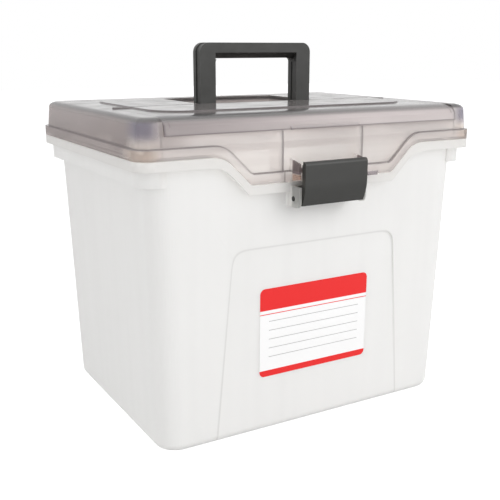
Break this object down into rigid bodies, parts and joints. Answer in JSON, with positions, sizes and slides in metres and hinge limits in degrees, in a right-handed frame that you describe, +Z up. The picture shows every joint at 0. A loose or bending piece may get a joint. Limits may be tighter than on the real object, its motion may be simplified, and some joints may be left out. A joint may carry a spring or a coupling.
{
  "type": "portable file box",
  "caption": "Translucent file box with a hinged smoke lid, an organiser under a front door, a folding top handle and a front latch.",
  "frame": {"origin": "middle of the flat underside of the bin", "axes": "+Z up, -Y towards the latch at the front, +X to the right seen from the front"},
  "size_m": [0.3504, 0.2827, 0.3505],
  "materials": {
    "clear_plastic": "milky translucent polypropylene, fine satin texture",
    "smoke_plastic": "translucent smoke grey plastic, smooth",
    "dark_plastic": "dark grey moulded plastic, fine matte texture",
    "pin_plastic": "black moulded plastic",
    "label_paper": null
  },
  "bodies": {
    "box": {"bin": "clear_plastic", "latch_pin": "pin_plastic", "lid_hinge_pins": "pin_plastic", "label": "label_paper"},
    "lid": {"lid": "smoke_plastic"},
    "door": {"organiser_door": "smoke_plastic"},
    "handle": {"handle": "dark_plastic"},
    "latch": {"latch": "dark_plastic"}
  },
  "joints": [
    {"name": "lid_hinge", "type": "hinge", "parent": "box", "child": "lid", "pos_m": [0, 0.1326, 0.26], "axis": [-1, 0, 0], "range_deg": [0, 105]},
    {"name": "door_hinge", "type": "hinge", "parent": "lid", "child": "door", "pos_m": [0, -0.0168, 0.292], "axis": [-1, 0, 0], "range_deg": [0, 90]},
    {"name": "handle_hinge", "type": "hinge", "parent": "lid", "child": "handle", "pos_m": [0, -0.003, 0.2869], "axis": [-1, 0, 0], "range_deg": [0, 90]},
    {"name": "latch_hinge", "type": "hinge", "parent": "box", "child": "latch", "pos_m": [0, -0.13205, 0.2205], "axis": [1, 0, 0], "range_deg": [0, 140]}
  ]
}
